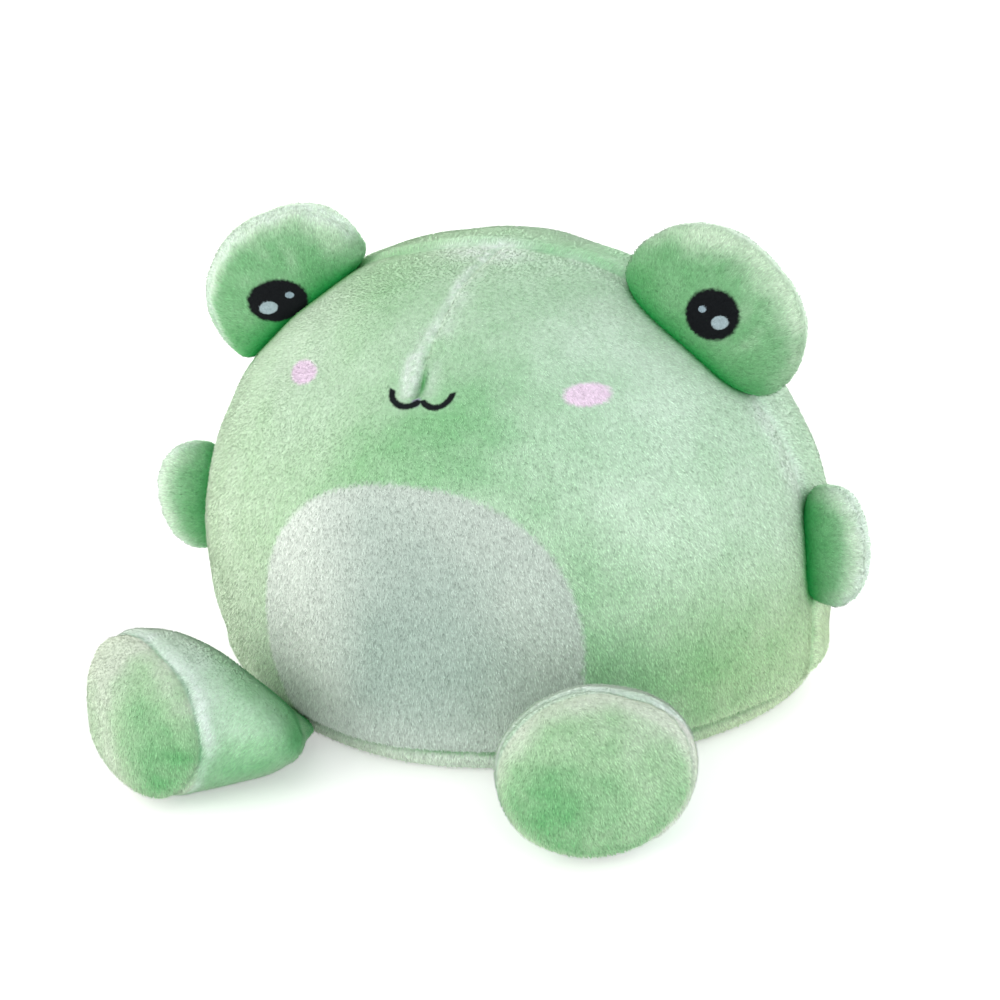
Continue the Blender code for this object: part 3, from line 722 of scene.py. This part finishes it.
# How far each arm reaches, how much lower than its hinge it is drawn, and its painted sheen
arm_shapes = {"left": (0.0153, 0, (0.45, 0.50, -0.5)), "right": (0.0174, 0.0022, (0.35, 0.40, 0.0))}
arm_covers = {}
for side, word in ((1, "left"), (-1, "right")):
    reach, drop, painted_nap_shading = arm_shapes[word]
    turned = Matrix.Rotation(side * math.pi / 2, 4, "Y") @ Matrix.Rotation(ARM_SWEEP, 4, "X")
    spot = Matrix.Translation(Vector(hinges[word + "_arm_fold"]["pos_m"]) - Vector((0, 0, drop))) @ turned
    size = (ARM_HALF_WIDTH, reach, ARM_HALF_THICKNESS, ARM_WAIST, SIDE_RADIUS, ARM_HANG, 1.0)
    cover = sewn_flap(word + "_arm_cover", spot, size, arm_plush, 0.0016, (0, 0), painted_nap_shading, 30 + side)
    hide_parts(*(f"{word}_arm_{part}" for part in ("front_panel", "back_panel", "filling")))
    arm_covers[word] = (cover, spot)


# Legs: each is a tube of two panels that swells from its pinched root in the base seam, closed by a round
# sole panel that the stuffing domes. A deep sewn line runs round the sole.

LEG_SPLAY = math.radians(28.5)
LEG_LENGTH = 0.0400
LEG_ROOT_HEIGHT = 0.0052
ROOT_HALF_WIDTH = 0.0064
ROOT_HALF_HEIGHT = 0.0018
SOLE_HALF_WIDTH = 0.0217
SOLE_HALF_HEIGHT = 0.0195
SOLE_DOME = 0.0108
PINCHED_SHARE = 0.10
SOLE_SHARE = 0.60


def leg_form(ball, toe, inner, broad):
    """A leg in its own frame: -Y along the leg, Z up, X on the hinge line. toe pushes the foot of its sole
    forward, inner swells the tube on its +X side and broad widens that side of the sole too."""
    theta = np.arccos(np.clip(ball[:, 1], -1, 1)) / math.pi
    turn = np.arctan2(ball[:, 2], ball[:, 0])
    run = np.clip((theta - PINCHED_SHARE) / (SOLE_SHARE - PINCHED_SHARE), 0, 1)
    dome = np.clip((theta - SOLE_SHARE) / (1 - SOLE_SHARE), 0, 1) * math.pi / 2
    along = LEG_LENGTH * run + SOLE_DOME * np.sin(dome)
    swell = np.sin(math.pi / 2 * run)
    rise = swell**1.4
    wide = ROOT_HALF_WIDTH + (SOLE_HALF_WIDTH - ROOT_HALF_WIDTH) * swell**0.5
    tall = ROOT_HALF_HEIGHT + (SOLE_HALF_HEIGHT - ROOT_HALF_HEIGHT) * rise
    middle = (SOLE_HALF_HEIGHT - LEG_ROOT_HEIGHT + 0.0004) * rise
    pinched = np.clip(theta / PINCHED_SHARE, 0, 1)
    close = np.where(theta < PINCHED_SHARE, pinched, np.cos(dome) ** 0.92)
    x = wide * close * power(np.cos(turn), 0.96)
    z = middle + tall * close * power(np.sin(turn), 0.96)
    x = np.where(x > 0, x * (broad + inner * bell(run - 0.5, 0.3)), x)
    along = along + toe * ramp(middle - z, -0.004, SOLE_HALF_HEIGHT) * ramp(run, 0.5, 1)
    return np.stack([x, -along, z], 1)


def leg_prints(tree, place_out, colour):
    """The sole panel is a duller, yellower green."""
    on_sole = within(tree, axes(tree, place_out)[1], -LEG_LENGTH - 0.0005, 0.0006)
    return mix(tree, on_sole, colour, (0.97, 0.88, 0.87, 1), "MULTIPLY")


leg_plush = plush("leg_plush", "D0E8D6", "A4D3AA", "55AD69", leg_prints)
# How the two legs differ: a shift, the slant of the sole's seam along X and Z, then toe, inner and broad as
# leg_form takes them, and the painted light and shade of the sole: from where to where across it is painted
# pale and by how much, where its painted pale rim begins, and the painted shade it has all over
leg_shapes = {
    "left": (-0.0010, 0.16, -0.08, 0, 0, 1.05, (-0.002, 0.013, 0.2, -0.090, -0.45)),
    "right": (0, 0.0, 0.0, 0.003, 0.52, 1.0, (-0.009, 0.003, 1.2, -0.030, -0.65)),
}
leg_covers = {}
for side, word in ((1, "left"), (-1, "right")):
    shift, slant_x, slant_z, toe, inner, broad, sole_light = leg_shapes[word]
    pale_from, pale_to, pale_by, rim_from, sole_painted_shade = sole_light
    root_spot = Vector(hinges[word + "_leg_fold"]["pos_m"]) + Vector((shift, 0, 0))
    spot = Matrix.Translation(root_spot) @ Matrix.Rotation(side * LEG_SPLAY, 4, "Z")
    cover = unit_ball(word + "_leg_cover", 15)
    form = leg_form(points_of(cover), toe, inner, broad)
    set_points(cover, form)
    turn_out(cover)
    middle_z = SOLE_HALF_HEIGHT - LEG_ROOT_HEIGHT
    ring = 0.6 * bell(form[:, 1] + LEG_LENGTH, 0.0016)
    root = 1 - ramp(-form[:, 1], 0.002, 0.006)
    stuff(cover, np.maximum(ring, root), slack=0.0007, fullness=0.0012, pressure=16)
    smooth_once(cover, 2)

    # The sewn ring round the sole
    own = points_of(cover)
    outward = normals_of(cover)
    round_turn = np.arctan2(own[:, 2] - middle_z, own[:, 0])
    pucker = 0.5 + 0.5 * np.sin(round_turn * 30 + 1.5 * np.sin(round_turn * 9))
    toe_here = toe * ramp(middle_z - own[:, 2], -0.004, SOLE_HALF_HEIGHT)
    gap = own[:, 1] + LEG_LENGTH + toe_here + slant_x * own[:, 0] + slant_z * (own[:, 2] - middle_z)
    gap += 0.0004 * np.sin(round_turn * 7)
    lift = 0.0003 * bell(np.abs(gap) - 0.0032, 0.0018) - 0.0005 * bell(gap, 0.0009) * (0.7 + 0.6 * pucker)
    own = own + outward * (lift + bumps(own, 60, 40 + side) * 0.0007)[:, None]
    world_points = to_world(spot, own)
    world_points[:, 2] = np.maximum(world_points[:, 2], 0.0003)
    set_points(cover, world_points)

    # How its pile lies: parted at the seams and painted pale there as sheen, with painted light and shade in
    # places, and painted deep green shade towards the root
    top_seam = 0.3 * bell(own[:, 0], 0.0012) * (own[:, 1] > -LEG_LENGTH) * (own[:, 2] > 0.01)
    ragged_sheen_gap = gap - 0.0017 + 0.0014 * bumps(own, 190, 60 + side)
    parted_sheen = 1.1 * bell(ragged_sheen_gap, 0.0022) * (0.75 + 0.9 * bumps(own, 110, 50 + side)) + top_seam
    aside, along, height = own[:, 0] * side, -own[:, 1], own[:, 2]
    outer = np.hypot(own[:, 0] / SOLE_HALF_WIDTH, (height - middle_z) / SOLE_HALF_HEIGHT)
    sole_painted_light = 0.9 * ramp(outer, 0.82, 1.0) * ramp(aside, rim_from, 0.004) + sole_painted_shade
    sole_painted_light += 0.5 * ramp(height - middle_z, -0.004, 0.013) + pale_by * ramp(aside, pale_from, pale_to)
    tube_painted_light = 0.8 * ramp(height, 0.026, 0.033) * ramp(along, 0.020, 0.034)
    tube_painted_light += 0.45 * ramp(along, 0.024, 0.035) * ramp(height, 0.010, 0.020)
    tube_painted_light -= 0.5 * (1 - ramp(height, 0.004, 0.016)) + 1.2 * (1 - ramp(along, 0.009, 0.024))
    tone = np.where(own[:, 1] < -LEG_LENGTH, sole_painted_light, tube_painted_light)
    crease = 0.2 * bell(gap, 0.0005) + 0.7 * bell(own[:, 1] + 0.0145, 0.0090) * ramp(height, 0.003, 0.009)
    keep_cloth_marks(cover, own, parted_sheen, crease, gap, round_turn * SOLE_HALF_WIDTH, tone)
    cover.data.materials.append(leg_plush)
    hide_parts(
        *(f"{word}_leg_{part}" for part in ("outer_panel", "inner_panel", "filling")), word + "_sole_panel"
    )
    leg_covers[word] = (cover, spot)


# Pile: every cover carries short polyester pile, about 1 mm long, lying along the nap. Each tuft is a lock of
# fibres a quarter of a millimetre wide. Seams part it, and it is closer over the printed spots.

TUFTS_PER_AREA = 5.0e6
TUFTS_PER_PIECE = 49000
TUFT_LENGTH = 0.00092
TUFT_WIDTH = 0.00025
TUFT_LEAN = 1.06
LEAN_LIMITS = (0.35, 1.42)
SWIRL_SCALE = 50
CLUMP_SCALE = 800
SWIRL_SEED = 7
TUFT_FACES = np.array([[0, 1, 3], [1, 2, 3], [2, 0, 3], [0, 2, 1]])


def paint_contact_shade(piece, others, width, spread, share):
    """Painted shade where another piece presses against this one: a dark deep green line of painted shade,
    width wide, with softer painted shade round it that reaches spread and has that share of the strength."""
    points = points_of(piece)
    worn = read_attribute(piece, "worn")
    for other in others:
        its_points = points_of(other)
        low, high = its_points.min(0) - spread * 2, its_points.max(0) + spread * 2
        tree = kdtree.KDTree(len(its_points))
        for i, point in enumerate(its_points):
            tree.insert(point, i)
        tree.balance()
        for i in np.flatnonzero(((points > low) & (points < high)).all(1)):
            distance = tree.find(points[i])[2]
            line, broad_part = math.exp(-((distance / width) ** 2)), math.exp(-((distance / spread) ** 2))
            worn[i, 1] = max(worn[i, 1], (1 - share) * line + share * broad_part)
    keep_attribute(piece, "worn", worn)


def scatter(cover, rng, crowd):
    """Even random places over the cover, denser where crowd says, and what the cover keeps at each of them:
    point, normal, place on the cloth, painted sheen at seams, painted crease and cover shade, stitches, and painted
    light and shade."""
    mesh = cover.data
    mesh.calc_loop_triangles()
    corners = np.empty(len(mesh.loop_triangles) * 3, dtype=np.int32)
    mesh.loop_triangles.foreach_get("vertices", corners)
    corners = corners.reshape(-1, 3)
    points, outward = points_of(cover), normals_of(cover)
    own, worn, stitched = (read_attribute(cover, name) for name in ("cloth_place", "worn", "stitched"))
    tone = np.empty(len(points), dtype=np.float32)
    mesh.attributes["tone"].data.foreach_get("value", tone)
    a, b, c = (points[corners[:, i]] for i in range(3))
    area = np.linalg.norm(np.cross(b - a, c - a), axis=1) / 2
    total = np.cumsum(area * crowd(own[corners].mean(1)))
    tufts = int(total[-1] * TUFTS_PER_AREA)
    face = np.searchsorted(total, (np.arange(tufts) + rng.random(tufts)) / tufts * total[-1])
    face = np.minimum(face, len(corners) - 1)
    u, v = rng.random(tufts), rng.random(tufts)
    over_edge = u + v > 1
    u, v = np.where(over_edge, 1 - u, u), np.where(over_edge, 1 - v, v)
    shares = np.stack([1 - u - v, u, v], 1)[:, :, None]
    kept = (points, outward, own, worn, stitched, tone[:, None])
    return [(values[corners[face]] * shares).sum(1) for values in kept]


def tuft_mesh(name, verts, soft_normal):
    """One mesh of tufts, each a sliver with three corners at its foot and one at its tip."""
    faces = (np.arange(len(verts))[:, None, None] * 4 + TUFT_FACES).reshape(-1, 3)
    mesh = bpy.data.meshes.new(name)
    mesh.vertices.add(len(verts) * 4)
    mesh.vertices.foreach_set("co", verts.ravel())
    mesh.loops.add(faces.size)
    mesh.loops.foreach_set("vertex_index", faces.ravel().astype(np.int32))
    mesh.polygons.add(len(faces))
    mesh.polygons.foreach_set("loop_start", np.arange(0, faces.size, 3, dtype=np.int32))
    mesh.update(calc_edges=True)
    mesh.normals_split_custom_set_from_vertices(np.repeat(soft_normal, 4, 0))
    return mesh


def grow_pile(cover, title, seed, comb, crowd, ruffled):
    """Tufts over the cover. By place on the cloth, comb gives their direction, crowd how dense they are and
    ruffled how unevenly they lie."""
    rng = np.random.default_rng(seed)
    root, up, at, tuft_sheen_shade_tone, sewn, tone = scatter(cover, rng, crowd)
    tufts = len(root)
    up /= np.linalg.norm(up, axis=1)[:, None]
    fine = np.minimum(1, np.sqrt(1 / np.maximum(crowd(at), 0.001)))
    swirl = np.array([noise.noise_vector(Vector(p) * SWIRL_SCALE) for p in at])
    clump = np.array([noise.noise_vector(Vector(p) * CLUMP_SCALE) for p in at * (1.4, 1.4, 0.8)])
    ruffle = np.maximum(ruffled(at), 0.5 * tuft_sheen_shade_tone[:, 0])[:, None]

    # Which way each tuft leans, and how far
    along = comb(at) + swirl * 0.4 + (clump * 0.4 + rng.normal(0, 0.16, (tufts, 3))) * ruffle
    along -= up * (along * up).sum(1)[:, None]
    along /= np.linalg.norm(along, axis=1)[:, None] + 1e-9
    lean = rng.normal(0, 0.13, tufts) + clump[:, 2] * 0.30
    lean = np.clip(TUFT_LEAN + lean[:, None] * ruffle, *LEAN_LIMITS)
    fibre = up * np.cos(lean) + along * np.sin(lean)

    # Its length, width and roll, and a normal between its own and the cloth's
    by_stitches = 1 - 0.35 * bell(sewn[:, 0], 0.5)
    reach = TUFT_LENGTH * rng.uniform(0.75, 1.25, tufts) * fine * by_stitches * (1 - 0.35 * tuft_sheen_shade_tone[:, 1])
    half = (TUFT_WIDTH / 2 * rng.uniform(0.75, 1.25, tufts) * fine)[:, None]
    side = np.cross(fibre, up)
    side /= np.linalg.norm(side, axis=1)[:, None] + 1e-9
    roll = rng.normal(0, 0.25, tufts)[:, None] * ruffle
    over = np.cross(side, fibre)
    side, over = side * np.cos(roll) + over * np.sin(roll), over * np.cos(roll) - side * np.sin(roll)
    soft_normal = up + 0.9 * over + 0.34 * side * rng.normal(0, 1, (tufts, 1)) * ruffle
    soft_normal /= np.linalg.norm(soft_normal, axis=1)[:, None]
    foot = root - up * 0.0001
    corners = [foot - side * half, foot + side * half, foot - over * half * 0.6, root + fibre * reach[:, None]]
    verts = np.stack(corners, 1)
    verts[:, :, 2] = np.maximum(verts[:, :, 2], 0.0001)
    tuft_sheen_shade_tone[:, 2] = np.clip(0.5 + (0.45 * clump[:, 0] + rng.normal(0, 0.34, tufts)) * ruffle[:, 0], 0, 1)

    piles = []
    for first in range(0, tufts, TUFTS_PER_PIECE):
        part = slice(first, first + TUFTS_PER_PIECE)
        name = f"{title}_pile_{len(piles) + 1}"
        pile = bpy.data.objects.new(name, tuft_mesh(name, verts[part], soft_normal[part]))
        bpy.context.scene.collection.objects.link(pile)
        marks = np.repeat(sewn[part], 4, 0)
        marks[3::4, 2] = 1
        keep_attribute(pile, "cloth_place", np.repeat(at[part], 4, 0))
        keep_attribute(pile, "worn", np.repeat(tuft_sheen_shade_tone[part], 4, 0))
        keep_attribute(pile, "stitched", marks)
        keep_attribute(pile, "tone", np.repeat(tone[part, 0], 4))
        pile.data.materials.append(cover.data.materials[0])
        piles.append(pile)
    return piles


def comb_body(at):
    """Down and a little to its left, and away from the stitches on both sides of a seam."""
    along = np.tile([0.3, -0.1, -1.0], (len(at), 1))
    seam, dart = seam_offset(at), dart_offset(at)
    along[:, 1] += 2.2 * np.sign(seam) * bell(seam, 0.0026) * (at[:, 2] > BASE_SEAM_Z)
    along[:, 0] += 1.1 * np.sign(dart) * bell(dart, 0.0026) * dart_extent(at)
    return along


def crowd_body(at):
    """Closer over the mouth, and hardly any where the base lies on the floor."""
    mouth = (np.abs(at[:, 0]) < 0.0095) & (np.abs(at[:, 2] - 0.0873) < 0.0033) & (at[:, 1] < SEAM_Y)
    return np.where(mouth, 5.0, np.where(at[:, 2] < 0.0012, 0.02, 1.0))


def ruffled_body(at):
    """Brushed smooth over the forehead, ruffled below it."""
    return 0.35 + 0.65 * ramp(-at[:, 2], -0.094, -0.074)


def comb_flap(place_matrix):
    """Outward from the root, fanning to the sides, and away from the seam at the edge."""

    def comb(at):
        out = np.stack([at[:, 0] * 30, 0 * at[:, 0], 0.8 + 0 * at[:, 0]], 1)
        out[:, 1] += 1.2 * np.sign(at[:, 1]) * bell(at[:, 1], 0.0022)
        return out @ np.array(place_matrix)[:3, :3].T

    return comb


def comb_leg(place_matrix):
    """Along the tube towards the sole, and down over the sole."""

    def comb(at):
        on_sole = ramp(-at[:, 1], LEG_LENGTH, LEG_LENGTH + 0.003)[:, None]
        out = np.array([0.1, -0.9, -0.4]) * (1 - on_sole) + np.array([0.2, 0, -1.0]) * on_sole
        return out @ np.array(place_matrix)[:3, :3].T

    return comb


def ruffled_leg(at):
    """Brushed smooth along the tube, ruffled on the sole."""
    return 0.35 + 0.65 * ramp(-at[:, 1], LEG_LENGTH, LEG_LENGTH + 0.004)


def crowd_pupil(middle):
    """Closer over the pupil, so that its edge is fine."""

    def crowd(at):
        on_pupil = (np.hypot(at[:, 0] - middle[0], at[:, 2] - middle[1]) < 0.0085) & (at[:, 1] < 0)
        return np.where(on_pupil, 3.0, 1.0)

    return crowd


def crowd_sole(on_sole):
    return lambda at: ((at[:, 1] < -LEG_LENGTH) == on_sole).astype(float)


def everywhere(share):
    return lambda at: np.full(len(at), share)


eyes = [cover for cover, spot in eye_covers.values()]
arms = [cover for cover, spot in arm_covers.values()]
legs = [cover for cover, spot in leg_covers.values()]
# Painted shade where each limb presses against the body, on the body and on the limb
for limbs, width, spread, share in (
    (eyes[:1], 0.0008, 0.0020, 0.3),
    (eyes[1:], 0.0016, 0.0034, 0.6),
    (arms, 0.0012, 0.0022, 0.4),
    (legs, 0.0012, 0.0020, 0.2),
):
    paint_contact_shade(body, limbs, width, spread, share)
for limbs, width, spread, share in (
    (eyes, 0.0024, 0.0056, 0.85),
    (arms, 0.0024, 0.0064, 0.9),
    (legs, 0.0020, 0.0100, 0.6),
):
    for limb in limbs:
        paint_contact_shade(limb, [body], width, spread, share)

# noise_vector takes its offsets from this seed, and from the clock where none is set
noise.seed_set(SWIRL_SEED)
grown = [("torso", "minky_green", [body, *grow_pile(body, "body", 11, comb_body, crowd_body, ruffled_body)])]
for word in ("left", "right"):
    cover, spot = eye_covers[word]
    crowd = crowd_pupil(eye_spots[word][0][0])
    pile = grow_pile(cover, word + "_eye", 21, comb_flap(spot), crowd, everywhere(0.6))
    grown.append((word + "_eye", "minky_green", [cover, *pile]))
    cover, spot = arm_covers[word]
    pile = grow_pile(cover, word + "_arm", 31, comb_flap(spot), everywhere(1.0), everywhere(0.6))
    grown.append((word + "_arm", "minky_green", [cover, *pile]))
    cover, spot = leg_covers[word]
    pile = grow_pile(cover, word + "_leg", 41, comb_leg(spot), crowd_sole(False), ruffled_leg)
    grown.append((word + "_leg", "minky_green", [cover, *pile]))
    pile = grow_pile(cover, word + "_sole", 51, comb_leg(spot), crowd_sole(True), ruffled_leg)
    grown.append((word + "_leg", "minky_sole", pile))
for moving_body, slot, pieces in grown:
    for piece in pieces:
        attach(piece, moving_body)
